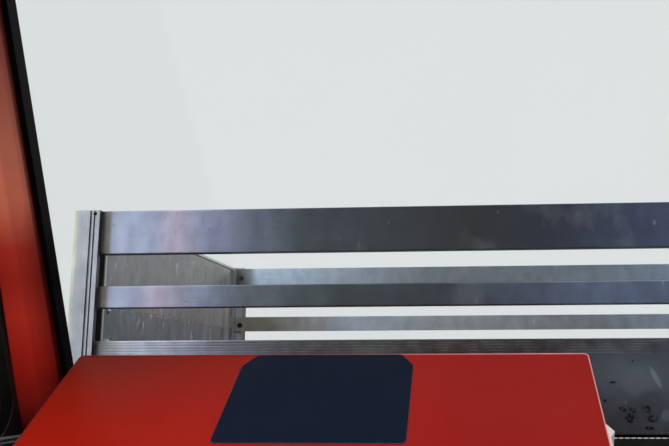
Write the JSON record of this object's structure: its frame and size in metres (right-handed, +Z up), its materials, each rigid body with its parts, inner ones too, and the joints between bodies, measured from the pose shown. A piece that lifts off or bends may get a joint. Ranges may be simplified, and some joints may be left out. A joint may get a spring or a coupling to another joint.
{
  "type": "driver's end of a funicular car",
  "caption": "Uphill end of a funicular car: raked windscreen over a red driver's desk, and a walled goods platform with hinged side gates in front.",
  "frame": {"origin": "on the floor plane the sills stand on, in the middle of the module's length and width", "axes": "+Z up, +Y uphill towards the goods platform, +X to the right of someone facing uphill"},
  "size_m": [2.4, 2.454, 2.33],
  "materials": {
    "red_paint": "satin",
    "red_laminate": "satin",
    "black_rubber": "matte",
    "glass": "clear",
    "board_aluminium": "brushed, scuffed",
    "post_aluminium": "anodised",
    "bar_aluminium": "brushed",
    "gate_grey": "matte",
    "frame_steel": "satin",
    "cabinet_grey": "satin",
    "floor_cover": "matte",
    "deck_aluminium": "ribbed",
    "lens_glass": "clear",
    "zinc_steel": "zinc plated",
    "navy_plastic": "satin",
    "cream_plastic": "satin",
    "roof_grey": "satin"
  },
  "bodies": {
    "car_end": {"board_low": "board_aluminium", "board_mid": "board_aluminium", "board_top": "board_aluminium", "cab_floor": "floor_cover", "corner_post_left": "post_aluminium", "corner_post_right": "post_aluminium", "desk_cabinet": "cabinet_grey", "desk_grip": "cream_plastic", "desk_sign": "navy_plastic", "desk_top": "red_laminate", "far_bar_lower": "bar_aluminium", "far_bar_upper": "bar_aluminium", "far_board_low": "board_aluminium", "far_post_left": "post_aluminium", "far_post_right": "post_aluminium", "front_bulkhead": "red_paint", "front_cross_member": "frame_steel", "front_skirt": "red_paint", "gate_hinges_left": "zinc_steel", "gate_hinges_right": "zinc_steel", "lamp_left": "zinc_steel", "lamp_lens_left": "lens_glass", "lamp_lens_right": "lens_glass", "lamp_right": "zinc_steel", "middle_cross_member": "frame_steel", "pillar_left": "red_paint", "pillar_right": "red_paint", "platform_deck": "deck_aluminium", "rear_cross_member": "frame_steel", "rear_frame": "frame_steel", "rear_skirt": "frame_steel", "roof_front": "roof_grey", "roof_panel": "roof_grey", "side_sill_left": "frame_steel", "side_sill_right": "frame_steel", "side_skirt_left": "red_paint", "side_skirt_right": "red_paint", "side_wall_left": "red_paint", "side_wall_right": "red_paint", "side_window_left": "glass", "side_window_right": "glass", "side_window_seal_left": "black_rubber", "side_window_seal_right": "black_rubber", "windscreen_glass": "glass", "windscreen_header": "red_paint", "windscreen_seal": "black_rubber", "windscreen_sill": "red_paint"},
    "gate_left": {"side_gate_left": "gate_grey", "gate_latch_left": "zinc_steel"},
    "gate_right": {"side_gate_right": "gate_grey", "gate_latch_right": "zinc_steel"},
    "door_left": {"desk_door_left": "cabinet_grey", "desk_door_handle_left": "zinc_steel"},
    "door_right": {"desk_door_right": "cabinet_grey", "desk_door_handle_right": "zinc_steel"}
  },
  "joints": [
    {"name": "gate_left_hinge", "type": "hinge", "parent": "car_end", "child": "gate_left", "pos_m": [-1.189, 1.162, 0.6], "axis": [0, 0, -1], "range_deg": [0, 100]},
    {"name": "gate_right_hinge", "type": "hinge", "parent": "car_end", "child": "gate_right", "pos_m": [1.189, 1.162, 0.6], "axis": [0, 0, 1], "range_deg": [0, 100]},
    {"name": "door_left_hinge", "type": "hinge", "parent": "car_end", "child": "door_left", "pos_m": [-0.943, -0.62068, 0.58], "axis": [0, 0, -1], "range_deg": [0, 110]},
    {"name": "door_right_hinge", "type": "hinge", "parent": "car_end", "child": "door_right", "pos_m": [-0.179, -0.62068, 0.58], "axis": [0, 0, 1], "range_deg": [0, 110]}
  ]
}
